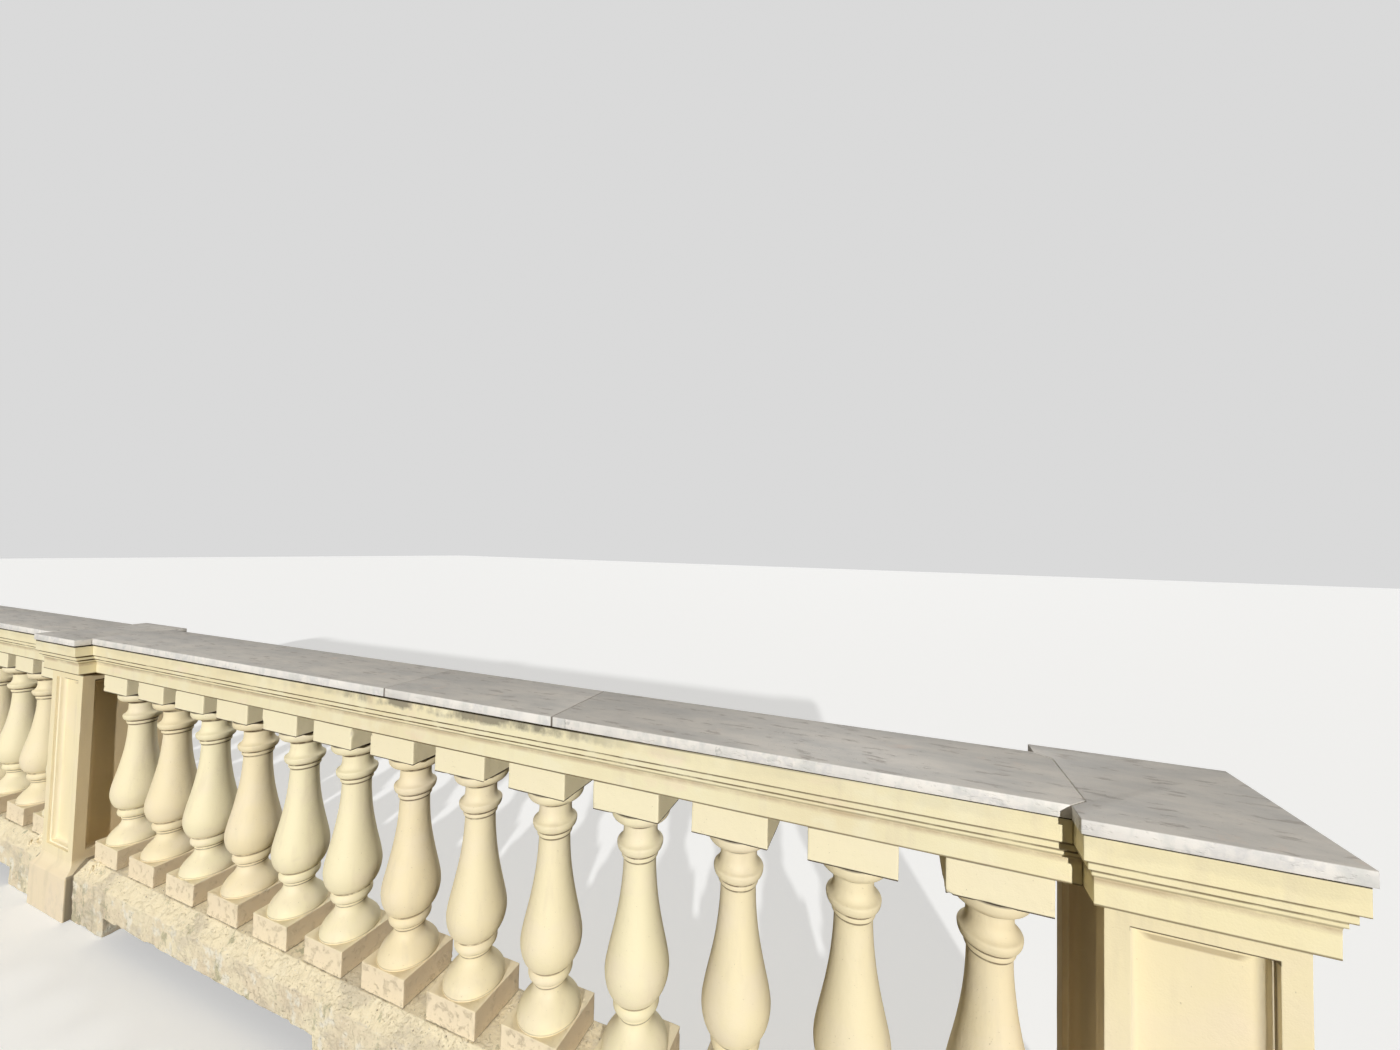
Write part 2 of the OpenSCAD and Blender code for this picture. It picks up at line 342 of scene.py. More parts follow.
def growth_by_piers(place):
    """Olive growth on the kerb's face beside the piers, and dirt in the joint against their bases"""
    along = from_axis(place)[0]
    broken = times(between(along, base_half + 0.26, base_half + 0.06),
                   between(axis(place, "Z"), kerb_face_height + 0.004, kerb_face_height - 0.02),
                   spots(place, 0.50, 0.56, 17, 8, (1, 1, 0.8), 0.66))
    crack = reckon("ADD", between(along, base_half + 0.024, base_half),
                   grain(place, 60, 6, (1, 1, 1), 0.7))
    return (olive_growth, broken, 0.7), (crack_dirt, between(crack, 0.95, 1.2), 0.85)


def kerb_render_material():
    finish, shader, place = material_start("weathered kerb render", 0.92)
    height = axis(place, "Z")
    drips = times(spots(place, 0.58, 0.68, 26, 4, (1, 1, 0.12)), spots(place, 0.50, 0.62, 4))
    grit = spots(place, 0.64, 0.70, 210, 3, (1, 1, 1), 0.7)
    colour = washes(lime_pale, (
        (lime_worn, spots(place, 0.4, 0.62, 7), 1),
        (lime_wash, spots(place, 0.54, 0.62, 23, 6), 1),
        (splay_lime, between(height, kerb_face_height - 0.002, kerb_face_height + 0.004), 0.85),
        (water_stain, spots(place, 0.52, 0.60, 9, 8, (0.6, 1, 1), 0.62), 0.7),
        (green_growth, spots(place, 0.585, 0.635, 13, 9, (1, 1, 0.8), 0.68), 0.75),
        (drip_brown, drips, 0.5), (dark_grit, grit, 0.6),
        (pale_grit, spots(place, 0.64, 0.70, 120, 3, (1, 1, 1), 0.7), 0.6),
        # Chipped arrises are paler; the hollows are darkened as painted shade and dirt.
        (chipped_lime, marked(place, "chipped"), 0.7), (hollow_dirt_and_shade, marked(place, "hollow"), 0.7),
        *growth_by_piers(place)))
    flakes = spots(place, 0.47, 0.55, 34, 6, (1, 1, 1), 0.6)
    surface(shader, colour, (
        (flakes, 0.0015), (grain(place, 95, 6, (1, 1, 1), 0.7), 0.003), (grit, 0.0012),
        (grain(place, 420, 2), 0.0008)))
    return finish


flare_rise = kerb_height - base_block_height
base_side = [(base_half, 0.0)] + bend(
    (base_half, base_block_height), (base_half - base_flare_lip, base_block_height + 0.2 * flare_rise),
    (shaft_half, base_block_height + 0.45 * flare_rise), (shaft_half, kerb_height), 12)


def base_reach(height):
    """Half width of a pier base at a height"""
    return float(numpy.interp(height, [z for half, z in base_side], [half for half, z in base_side]))


def kerb_mesh(left):
    """The kerb between the pier at left and the next, with its two slots"""
    reach = base_half + mortar_gap
    slot_length = (bay - 2 * (base_half + slot_end_foot) - slot_middle_foot) / 2
    first_slot = left + base_half + slot_end_foot
    last_slot = left + bay - base_half - slot_end_foot
    edges = [left + reach, first_slot, first_slot + slot_length, last_slot - slot_length, last_slot,
             left + bay - reach]
    spans = [spread(a, b, kerb_cell_along, kerb_arris_cell) for a, b in zip(edges, edges[1:])]
    across = [y / kerb_half for y in spread(-kerb_half, kerb_half, kerb_cell_across, kerb_arris_cell)]
    rows = (spread(0, slot_height, kerb_cell_low, kerb_arris_cell),
            spread(slot_height, kerb_face_height, kerb_cell_high, kerb_arris_cell))
    splay_rows = refined([(kerb_half, kerb_face_height), (kerb_top_half, kerb_height)], kerb_cell_high,
                         kerb_arris_cell)

    def flared(x, height):
        """Near the piers the kerb's ends follow the flare of their bases"""
        near = max(0, 1 - (x - edges[0]) / kerb_flare_run) - max(0, 1 - (edges[-1] - x) / kerb_flare_run)
        return x + near * (base_reach(height) - base_half)

    mesh = bmesh.new()
    for number, span in enumerate(spans):
        solid = number % 2 == 0
        for side in (-1, 1):
            if solid:
                patch(mesh, span, rows[0], lambda x, z: (x, side * kerb_half, z))
            patch(mesh, span, rows[1], lambda x, z: (flared(x, z), side * kerb_half, z))
            patch(mesh, span, splay_rows, lambda x, p: (flared(x, p[1]), side * p[0], p[1]))
        patch(mesh, span, across, lambda x, t: (flared(x, kerb_height), t * kerb_top_half, kerb_height))
        floor_height = 0 if solid else slot_height
        patch(mesh, span, across, lambda x, t: (x, t * kerb_half, floor_height))
    for x in edges[1:-1]:
        patch(mesh, across, rows[0], lambda t, z: (x, t * kerb_half, z))
    for x in (edges[0], edges[-1]):
        for row in rows:
            patch(mesh, across, row, lambda t, z: (flared(x, z), t * kerb_half, z))
        patch(mesh, across, splay_rows, lambda t, p: (flared(x, p[1]), t * p[0], p[1]))
    return closed(mesh, "kerb")


weathering = weathering_tree()
kerb_finish = kerb_render_material()
for number in (1, 2):
    piece = grown(f"rendered_kerb_{number}", kerb_mesh(pier_places[number - 1]), weathering, {
        "Rounding": 2, "Chip Depth": 12, "Chip Limit": 0.57, "Chip Scale": 24, "Swelling": 0.010,
        "Swelling Scale": 16, "Seed": number * 3.7, "Finish": kerb_finish})
    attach(piece, "root")
    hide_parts(f"kerb_{number}")

# Pier bases: square blocks under the piers, masonry with smooth painted render, flared in to the shaft.
# Each is run by hand with a template, so its flare is mitred at the corners and its arrises are worn.
shaft_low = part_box("pier_shaft_2")[0][2]
shaft_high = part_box("pier_shaft_2")[1][2]
base_cell_up = 0.012
base_cell_across = 0.013
panel_border = 0.032
panel_band = 0.030
panel_depth = 0.024
panel_step = 0.009
panel_ledge = 0.004
panel_hollow = 0.013
panel_dirt_reach = 0.009
panel_line_start = -0.022
splash_height = 0.19
# Two tones of the pier paint, laid in random patches; neither stands for light or shade.
pier_paint_pale = (0.93, 0.81, 0.52)
pier_paint_deep = (0.90, 0.78, 0.49)
# Painted shade: the mouldings inside the panels are painted a little darker, against the extra light they get
# from the panels round them.
moulding_shade_paint = (0.86, 0.76, 0.53)
base_paint = (0.88, 0.74, 0.54)
rosy_paint = (0.90, 0.76, 0.58)
# Painted light: the risers of the panels' square steps are painted paler, so their shade does not show as a
# line.
step_painted_light = (1.0, 0.90, 0.68)
rain_run = (0.70, 0.60, 0.40)
brown_speck = (0.52, 0.42, 0.26)
splashed_earth = (0.62, 0.55, 0.42)
chipped_render = (0.56, 0.50, 0.40)
# Painted shade: the shafts' sides that face along the row are painted darker.
side_shade_paint = (0.62, 0.48, 0.29)
# Dirt and painted shade on the bases' sides where the kerbs meet them.
joint_dirt_and_shade = (0.27, 0.23, 0.16)
# Painted shade and dirt in the hollow under each panel's top moulding.
moulding_dirt_and_shade = (0.54, 0.43, 0.25)
shadow_dirt = (0.12, 0.08, 0.04)


def under(height, level, reach, lip=0.0012):
    """A share for painted shade and dirt under a step at a level, which also darkens the step's own lowest
    edge
    """
    below = between(height, level - reach, level - 0.7 * reach)
    return times(below, between(height, level + lip, level + 0.6 * lip))


def pier_dirt_and_painted_light(place, sunk):
    """Painted shade on the sides along the row, dirt and painted shade at the kerb, painted light on the
    panels' steps, and painted shade and dirt under the mouldings of the cap and the panels
    """
    height, row = axis(place, "Z"), axis(place, "X")
    along, depth, out = from_axis(place)
    across = reckon("MINIMUM", along, depth)
    edge = shaft_half - panel_border
    panel_high, hollow_low = shaft_high - panel_band, panel_ledge + panel_hollow
    inner = between(reckon("ABSOLUTE", row), bay + 0.02, bay - 0.02)
    # Painted shade on the shafts' sides that face along the row, between the piers, above the bases.
    sideways = between(reckon("SUBTRACT", along, depth), -0.001, 0.001)
    shaded_sides = times(sideways, between(height, shaft_low - 0.01, shaft_low + 0.01), inner)
    # Dirt and painted shade on the bases' sides beside the kerb's ends.
    beside = times(between(along, base_half - 0.006, base_half - 0.003),
                   between(depth, base_half - 0.002, base_half - 0.006),
                   between(height, kerb_height, kerb_height - 0.02), inner)
    # Painted light on the risers of the panels' square steps.
    step = times(between(out, shaft_half - 0.0004, shaft_half - 0.0012),
                 between(out, shaft_half - panel_step - 0.0012, shaft_half - panel_step + 0.0002),
                 between(across, edge + 0.004, edge + 0.002))
    # Painted shade and dirt in a band under each panel's top moulding, mitred at its ends.
    drop = reckon("SUBTRACT", panel_high, height)
    mitre = reckon("SUBTRACT", reckon("SUBTRACT", edge, across), drop)
    band_low = hollow_low + panel_dirt_reach
    band = times(sunk, between(drop, band_low, band_low - 0.0025),
                 between(drop, hollow_low - 0.0015, hollow_low), between(mitre, 0, 0.012),
                 between(row, panel_line_start, 0.02))
    # Painted shadow and dirt: a thin dark line under the top of the panels, from just left of the middle
    # pier's axis rightwards; the same colour draws a line under the cap.
    panel_wide = times(between(across, edge + 0.0015, edge - 0.0005),
                       between(row, panel_line_start, panel_line_start + 0.012))
    panel_line = times(under(height, panel_high, 0.006, 0.0024), panel_wide)
    return ((side_shade_paint, shaded_sides, 0.68), (joint_dirt_and_shade, beside, 0.85), (step_painted_light, step, 0.5),
            (moulding_dirt_and_shade, band, 0.85), (shadow_dirt, under(height, shaft_high, 0.011, 0.0024), 0.95),
            (shadow_dirt, panel_line, 0.95))


def painted_render_material():
    finish, shader, place = material_start("painted pier render", 0.75)
    height, out = axis(place, "Z"), from_axis(place)[2]
    panel_face = shaft_half - panel_depth
    sunk = between(out, shaft_half - 0.003, shaft_half - 0.008)
    moulded = times(sunk, between(out, panel_face + 0.0006, panel_face + 0.003))
    specks = spots(place, 0.73, 0.76, 190, 2, (1, 1, 1), 0.6)
    splash = times(between(height, splash_height, 0.02),
                   spots(place, 0.5, 0.64, 16, 8, (1, 1, 0.6), 0.65))
    colour = washes(pier_paint_pale, (
        (pier_paint_deep, spots(place, 0.35, 0.7, 2.3, 3), 1),
        # Painted shade on the panels' mouldings.
        (moulding_shade_paint, moulded, 0.9),
        (base_paint, between(height, base_block_height + 0.07, base_block_height), 0.75),
        (rosy_paint, spots(place, 0.5, 0.68, 5, 3), 0.5),
        (rain_run, spots(place, 0.55, 0.7, 24, 4, (1, 1, 0.1)), 0.35),
        (brown_speck, specks, 0.5), (splashed_earth, splash, 0.5),
        (chipped_render, marked(place, "chipped"), 0.9),
        # Painted shade and painted light on sides, steps and mouldings, and dirt.
        *pier_dirt_and_painted_light(place, sunk)))
    surface(shader, colour, (
        (grain(place, 45, 4), 0.0010), (grain(place, 380, 3), 0.0004), (specks, -0.0005)))
    return finish


def square_block(rows, across, centre, name):
    """A square block through rows of half width and height, with four like sides and flat ends"""
    mesh = bmesh.new()
    for turn in range(4):
        spin = Matrix.Rotation(turn * math.pi / 2, 3, "Z")
        patch(mesh, across, rows, lambda t, row: centre + spin @ Vector((t * row[0], -row[0], row[1])))
    for half, height in (rows[0], rows[-1]):
        patch(mesh, across, across, lambda t, s: centre + Vector((t * half, s * half, height)))
    return closed(mesh, name)


pier_finish = painted_render_material()
base_rows = refined(base_side, base_cell_up, 0.001)
base_across = [x / base_half for x in spread(-base_half, base_half, base_cell_across)]
for number, x in enumerate(pier_places, 1):
    piece = grown(f"flared_base_{number}", square_block(base_rows, base_across, Vector((x, 0, 0)), "base"),
                  weathering, {"Rounding": 2, "Chip Depth": 10, "Chip Limit": 0.6, "Chip Scale": 30,
                               "Swelling": 0.003, "Swelling Scale": 7, "Seed": 11 + number,
                               "Finish": pier_finish})
    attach(piece, "root")
    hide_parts(f"pier_base_{number}")

# Pier shafts: square posts of the same painted render, with a sunken panel in each face.
# A square step, a narrow ledge and a hollow moulding run round each panel, mitred at its corners.
shaft_rise = (shaft_high - shaft_low) / 2
frame_cell = 0.010
shaft_cell_across = 0.014
shaft_cell_up = 0.020


def shaft_mesh(x):
    """One shaft: on each face nested frames step down from the arris to the panel"""
    ledge = panel_border + panel_ledge
    hollow_start = (ledge, panel_depth - 0.35 * (panel_depth - panel_step))
    frames = refined([(0, 0), (panel_border, 0), (panel_border, panel_step), (ledge, panel_step)]
                     + bend((ledge, panel_step), hollow_start, (ledge + 0.5 * panel_hollow, panel_depth),
                            (ledge + panel_hollow, panel_depth), 7)[1:], frame_cell)
    across = [u / shaft_half for u in spread(-shaft_half, shaft_half, shaft_cell_across)]
    upright = [v / shaft_rise for v in spread(-shaft_rise, shaft_rise, shaft_cell_up)]
    rim = ([(t, -1) for t in across] + [(1, s) for s in upright[1:]]
           + [(t, 1) for t in reversed(across[:-1])] + [(-1, s) for s in reversed(upright[:-1])])
    middle = Vector((x, 0, (shaft_low + shaft_high) / 2))
    mesh = bmesh.new()
    for turn in range(4):
        spin = Matrix.Rotation(turn * math.pi / 2, 3, "Z")

        def sunk(corner, inset, depth):
            """A place on this face, at a share of its width and height, moved in and down"""
            inside = inset >= panel_border
            band = inset - panel_border + panel_band if inside else inset * panel_band / panel_border
            return middle + spin @ Vector((corner[0] * (shaft_half - inset), depth - shaft_half,
                                           corner[1] * (shaft_rise - band)))

        patch(mesh, rim, frames, lambda corner, row: sunk(corner, *row))
        patch(mesh, across, upright, lambda t, s: sunk((t, s), *frames[-1]))
    for end in (-1, 1):
        patch(mesh, across, across,
              lambda t, s: middle + Vector((t * shaft_half, s * shaft_half, end * shaft_rise)))
    return closed(mesh, "shaft")


for number, x in enumerate(pier_places, 1):
    piece = grown(f"panelled_shaft_{number}", shaft_mesh(x), weathering, {
        "Rounding": 1, "Chip Depth": 8, "Chip Limit": 0.64, "Chip Scale": 22, "Swelling": 0.003,
        "Swelling Scale": 6, "Seed": 21 + number, "Finish": pier_finish})
    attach(piece, "root")
    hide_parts(f"pier_shaft_{number}")

# Balusters: thirteen to a bay, each cast in one piece of fine concrete and painted with masonry paint.
# The middle is turned: bell, ring, pear body, ring, neck and echinus; plinth and abacus are square blocks.
# They are bedded in mortar on the kerb, and dirt and lichen gather at their feet.
baluster_low, baluster_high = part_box("baluster_2_01")
row_start = (baluster_low[0] + baluster_high[0]) / 2
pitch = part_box("baluster_2_02")[0][0] - baluster_low[0]
plinth_width = 0.155
plinth_height = 0.071
abacus_height = 0.066
abacus_width = baluster_high[0] - baluster_low[0]
baluster_height = baluster_high[2] - baluster_low[2]
bell_margin = 0.0025
bell_height = 0.070
neck_radius = 0.0385
belly_radius = 0.0728
belly_rise = 0.174
neck_ring_drop = 0.128
bowl_margin = 0.012
turned_cell = 0.009
crisp_cell = 0.0015
baluster_sides = 48
block_cells = 19
block_wear = {"Rounding": 2, "Chip Depth": 12, "Chip Limit": 0.58, "Chip Scale": 34, "Swelling": 0.003,
              "Swelling Scale": 14}
turned_wear = {"Rounding": 1, "Chip Depth": 3, "Chip Limit": 0.66, "Chip Scale": 26, "Swelling": 0.0022,
               "Swelling Scale": 9}
cream_paint = (0.93, 0.84, 0.56)
warm_paint = (0.90, 0.77, 0.50)
rosy_cream = (0.90, 0.78, 0.58)
abacus_cream = (0.97, 0.88, 0.61)
plinth_cream = (0.90, 0.755, 0.535)
cream_run = (0.78, 0.67, 0.46)
dark_speck = (0.46, 0.37, 0.23)
# Painted shade for the plinths' sides that face along the row:
plinth_shade = (0.63, 0.51, 0.35)
plinth_crust = (0.70, 0.58, 0.38)
lichen_brown = (0.40, 0.33, 0.18)
chipped_cast = (0.62, 0.55, 0.41)
# Painted shade and dirt in the creases of the balusters:
crease_dirt_and_shade = (0.34, 0.25, 0.14)
# Painted shade and dirt as dark lines under the rings, the echinus, the abacus and the rail, and at the
# plinths' tops and feet:
ring_dirt_and_shade = (0.15, 0.10, 0.05)
abacus_shadow_and_dirt = (0.05, 0.03, 0.02)
bed_dirt_and_shade = (0.07, 0.05, 0.03)
ring_lines = ((0.1485, 0.004, 0.0006, 0.6), (0.157, 0.0036, 0.0006, 0.8), (0.1865, 0.0042, 0.0006, 0.75),
              (0.4925, 0.0055, 0.0006, 0.8), (0.5055, 0.0050, 0.0006, 0.95), (0.5745, 0.0090, 0.0020, 1))


def turned_outline():
    """Radius and height of the turned middle, listed upwards"""
    low, top = plinth_height, baluster_height - abacus_height
    bell, bowl = plinth_width / 2 - bell_margin, abacus_width / 2 - bowl_margin
    neck, fillet, bead, ring = neck_radius, neck_radius + 0.003, neck_radius + 0.005, neck_radius + 0.013
    foot, belly_height, shoulder = low + bell_height, low + belly_rise, top - neck_ring_drop
    bell_side = [(bell - 0.001, low - 0.004), (bell, low + 0.002), (bell, low + 0.005)]
    bell_side += bend((bell, low + 0.005), (bell - 0.0025, low + 0.5 * bell_height),
                      (neck + 0.0005, low + 0.66 * bell_height), (neck, foot), 15)[1:]
    foot_ring = [(neck, foot + 0.0065), (fillet, foot + 0.0075), (fillet, foot + 0.0125),
                 (fillet - 0.0015, foot + 0.0145)]
    foot_ring += bend((bead, foot + 0.016), (ring + 0.0035, foot + 0.019), (ring + 0.0035, foot + 0.040),
                      (bead + 0.001, foot + 0.0445), 10)
    body = bend((bead, foot + 0.046), (ring + 0.009, foot + 0.046), (belly_radius, belly_height - 0.027),
                (belly_radius, belly_height), 14)
    body += bend((belly_radius, belly_height), (belly_radius, belly_height + 0.037), (neck, shoulder - 0.120),
                 (neck - 0.0015, shoulder), 28)[1:]
    neck_ring = [(neck - 0.0005, shoulder + 0.0085), (fillet, shoulder + 0.0095), (fillet, shoulder + 0.019),
                 (fillet - 0.0015, shoulder + 0.021)]
    neck_ring += bend((bead, shoulder + 0.0225), (ring - 0.0015, shoulder + 0.024),
                      (ring + 0.001, shoulder + 0.033), (ring + 0.001, shoulder + 0.041), 8)
    neck_ring += bend((ring + 0.0005, shoulder + 0.043), (neck + 0.006, shoulder + 0.045),
                      (neck + 0.0005, shoulder + 0.054), (neck, shoulder + 0.065), 8)
    echinus = [(neck, top - 0.044), (bead, top - 0.041), (bead, top - 0.037), (bead + 0.003, top - 0.0365)]
    echinus += bend((bead + 0.003, top - 0.0365), (bowl - 0.005, top - 0.0345), (bowl + 0.0015, top - 0.024),
                    (bowl, top - 0.012), 10)[1:]
    echinus += [(bowl - 0.003, top - 0.004), (bowl - 0.003, top + 0.004)]
    return (refined(bell_side + foot_ring + body[:1], turned_cell, crisp_cell) + body[1:-1]
            + refined(body[-1:] + neck_ring + echinus, turned_cell, crisp_cell))


def baluster_tree():
    """Turns an outline about the upright axis, sets it between two square blocks, and weathers both"""
    tree = bpy.data.node_groups.new("turned baluster", "GeometryNodeTree")
    given, end = ports(tree, (
        ("Outline", "NodeSocketGeometry", None), ("Sides", "NodeSocketInt", baluster_sides),
        ("Block Cells", "NodeSocketInt", block_cells), ("Plinth Width", "NodeSocketFloat", plinth_width),
        ("Plinth Height", "NodeSocketFloat", plinth_height),
        ("Abacus Width", "NodeSocketFloat", abacus_width),
        ("Abacus Height", "NodeSocketFloat", abacus_height),
        ("Height", "NodeSocketFloat", baluster_height), ("Place", "NodeSocketVector", (0, 0, 0)),
        ("Twist", "NodeSocketFloat", 0), ("Tone", "NodeSocketFloat", 0.5), ("Seed", "NodeSocketFloat", 0),
        ("Finish", "NodeSocketMaterial", None)))
    place = add(tree, "GeometryNodeInputPosition", {})
    spine = add(tree, "ShaderNodeCombineXYZ", {"Z": axis(place, "Z")})
    line = stored(given["Outline"], "turned radius", axis(place, "X"))
    line = add(tree, "GeometryNodeSetPosition", {"Geometry": line, "Position": spine})
    line = add(tree, "GeometryNodeMeshToCurve", {"Mesh": line})
    circle = add(tree, "GeometryNodeCurvePrimitiveCircle", {"Resolution": given["Sides"], "Radius": 1},
                 mode="RADIUS")
    radius = add(tree, "GeometryNodeInputNamedAttribute", {"Name": "turned radius"}, data_type="FLOAT")
    turned = add(tree, "GeometryNodeCurveToMesh", {"Curve": line, "Profile Curve": circle, "Scale": radius,
                 "Fill Caps": True})
    cells = given["Block Cells"]
    cube = add(tree, "GeometryNodeMeshCube", {"Size": (2, 2, 2), "Vertices X": cells, "Vertices Y": cells,
               "Vertices Z": cells})
    crowded = move("SINE", longer(place, math.pi / 2))
    shapes = []
    for name in ("Plinth", "Abacus"):
        half_width, half_height = [times(given[f"{name} {size}"], 0.5) for size in ("Width", "Height")]
        halves = add(tree, "ShaderNodeCombineXYZ", {"X": half_width, "Y": half_width, "Z": half_height})
        level = half_height
        if name == "Abacus":
            level = reckon("SUBTRACT", given["Height"], half_height)
        lift = add(tree, "ShaderNodeCombineXYZ", {"Z": level})
        lifted = move("ADD", move("MULTIPLY", crowded, halves), lift)
        block = add(tree, "GeometryNodeSetPosition", {"Geometry": cube, "Position": lifted})
        shapes.append((block, block_wear))
    shapes.append((turned, turned_wear))
    join = tree.nodes.new("GeometryNodeJoinGeometry")
    for shape, wear in shapes:
        fed = {"Stone": shape, "Seed": given["Seed"], "Finish": given["Finish"], **wear}
        stone = add(tree, "GeometryNodeGroup", fed, node_tree=weathering)
        tree.links.new(stone, join.inputs[0])
    turn = add(tree, "ShaderNodeCombineXYZ", {"Z": given["Twist"]})
    stood = add(tree, "GeometryNodeTransform", {"Geometry": join.outputs[0], "Translation": given["Place"],
                "Rotation": turn})
    return ended(tree, stored(stood, "tone", given["Tone"]), given["Finish"], end)


def seam(height, level, reach):
    """A share that is 1 at a level and fades to 0 at reach above and below it"""
    return between(reckon("ABSOLUTE", reckon("SUBTRACT", height, level)), reach, 0)


def plinth_shaded_sides(place):
    """A share for the plinths' sides that face along the row, which are painted in shade"""
    along = reckon("SUBTRACT", axis(place, "X"), row_start)
    along = reckon("WRAP", along, bay, 0)
    along = reckon("WRAP", along, pitch / 2, -pitch / 2)
    aside, deep = [reckon("ABSOLUTE", value) for value in (along, axis(place, "Y"))]
    plinth_top = baluster_low[2] + plinth_height
    return times(between(reckon("SUBTRACT", aside, deep), -0.001, 0.001),
                 between(aside, plinth_width / 2 - 0.006, plinth_width / 2 - 0.003),
                 between(axis(place, "Z"), plinth_top, plinth_top - 0.003))


def baluster_shade_and_dirt_lines(place):
    """Dark lines of painted shade and dirt under the rings, the echinus, the abacus and the rail, and at the
    foot of bell and plinth
    """
    height, foot, top = axis(place, "Z"), baluster_low[2], baluster_high[2]
    worn = spots(place, 0.22, 0.50, 30, 5)
    rings = [(ring_dirt_and_shade, times(under(height, foot + rise, reach, lip), worn), strength)
             for rise, reach, lip, strength in ring_lines]
    blocks = [(abacus_shadow_and_dirt, under(height, top - drop, reach, lip), 0.97)
              for drop, reach, lip in ((abacus_height, 0.011, 0.0034), (0, 0.0060, 0.001))]
    beds = [(bed_dirt_and_shade, seam(height, foot + rise, reach), strength)
            for rise, reach, strength in ((plinth_height + 0.0032, 0.0024, 0.4), (0, 0.004, 0.9))]
    return rings + blocks + beds


def painted_baluster_material():
    finish, shader, place = material_start("painted cast stone", 0.6)
    height, foot = axis(place, "Z"), baluster_low[2]
    plinth_top, abacus_low = foot + plinth_height, baluster_high[2] - abacus_height
    runs = times(spots(place, 0.55, 0.7, 34, 4, (1, 1, 0.09)),
                 between(height, abacus_low, abacus_low - 0.02))
    specks = spots(place, 0.715, 0.745, 260, 2, (1, 1, 1), 0.6)
    low = between(height, plinth_top + 0.004, plinth_top - 0.004)
    crust = times(low, spots(place, 0.55, 0.62, 48, 8, (1, 1, 1), 0.7))
    lichen = times(between(height, foot + 0.030, foot + 0.003),
                   spots(place, 0.56, 0.61, 130, 6, (1, 1, 1), 0.7))
    # Painted shade and dirt in the stone's hollows, broken up by noise.
    creases = times(between(marked(place, "hollow"), 0.3, 1), spots(place, 0.3, 0.6, 22, 3))
    colour = washes(cream_paint, (
        (warm_paint, marked(place, "tone"), 1),
        (rosy_cream, spots(place, 0.48, 0.66, 9), 0.5),
        (cream_run, runs, 0.35),
        (abacus_cream, between(height, abacus_low - 0.002, abacus_low + 0.002), 0.7),
        (dark_speck, specks, 0.6), (plinth_cream, low, 0.8),
        # Painted shade on the plinths' sides along the row.
        (plinth_shade, plinth_shaded_sides(place), 0.68),
        (plinth_crust, crust, 0.35), (lichen_brown, lichen, 0.65),
        (chipped_cast, marked(place, "chipped"), 0.8), (crease_dirt_and_shade, creases, 0.5),
        # Dark lines of painted shade and dirt.
        *baluster_shade_and_dirt_lines(place)))
    surface(shader, colour, (
        (grain(place, 60, 4), 0.0009), (crust, 0.0010), (grain(place, 420, 3), 0.0004),
        (specks, -0.0008)))
    return finish


outline = turned_outline()
baluster_shape = baluster_tree()
baluster_finish = painted_baluster_material()
luck = numpy.random.default_rng(7)
for node in sorted(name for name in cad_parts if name.startswith("baluster")):
    low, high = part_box(node)
    line = bpy.data.meshes.new("outline")
    line.from_pydata([(r, 0, z) for r, z in outline], [(i, i + 1) for i in range(len(outline) - 1)], [])
    piece = grown(f"cast_{node}", line, baluster_shape, {
        "Place": Vector(((low[0] + high[0]) / 2, 0, low[2])), "Twist": float(luck.uniform(-0.012, 0.012)),
        "Tone": float(luck.uniform(0, 1)), "Seed": float(luck.uniform(0, 90)), "Finish": baluster_finish,
        "Sides": baluster_sides, "Block Cells": block_cells, "Plinth Width": plinth_width,
        "Plinth Height": plinth_height, "Abacus Width": abacus_width, "Abacus Height": abacus_height,
        "Height": high[2] - low[2]})
    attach(piece, "root")
    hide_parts(node)

# Rail and pier caps: one run of mouldings, cast or run in render and painted, that carries the marble.
# From below: lower fascia, hollow, two fillets and an upper fascia. The caps carry it round the piers.
# Dark lines of painted shade and dirt mark every step, and black mould runs down from under the marble, most
# in the right bay's middle.
rail_low, rail_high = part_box("rail_2")
cap_half = 0.132
rail_half = 0.0885
lower_fascia = 0.037
hollow_height = 0.007
lower_fillet = 0.010
upper_fillet = 0.015
hollow_out = 0.004
fillet_out = 0.006
fascia_out = 0.0075
rail_joint = 0.0008
moulding_cell = 0.010
rail_cell_along = 0.022
rail_cell_across = 0.020
cap_cell = 0.016
mould_start = (1.25, 1.65)
mould_end = (2.38, 2.14)
rail_cream = (0.91, 0.83, 0.55)
rail_warm = (0.86, 0.75, 0.48)
rail_pale = (0.92, 0.86, 0.63)
right_cap_paint = (0.98, 0.86, 0.52)
rosy_blush = (0.90, 0.71, 0.54)
rail_run = (0.76, 0.65, 0.46)
black_mould = (0.27, 0.24, 0.17)
rust_stain = (0.62, 0.44, 0.26)
chipped_rail = (0.60, 0.54, 0.42)
# Painted shade and soot along the rail's hollow:
hollow_soot_and_shade = (0.48, 0.34, 0.20)
# Painted shade and dirt as dark lines under each step and under the marble:
step_dirt_and_shade = (0.13, 0.08, 0.025)
bed_line_and_shade = (0.03, 0.02, 0.01)


def moulding(half):
    """Half depth and height of the mouldings, from the soffit up, for a lower fascia at half"""
    first, second = half + hollow_out, half + hollow_out + fillet_out
    third = second + fascia_out
    level = rail_low[2] + lower_fascia
    hollow_top = level + hollow_height
    step_one = hollow_top + lower_fillet
    step_two = step_one + upper_fillet
    return [(half, rail_low[2])] + bend((half, level), (half, level + 0.8 * hollow_height),
                                        (half + 0.3 * hollow_out, hollow_top), (first, hollow_top), 6) + [
        (first, step_one), (second, step_one), (second, step_two), (third, step_two), (third, rail_high[2])]


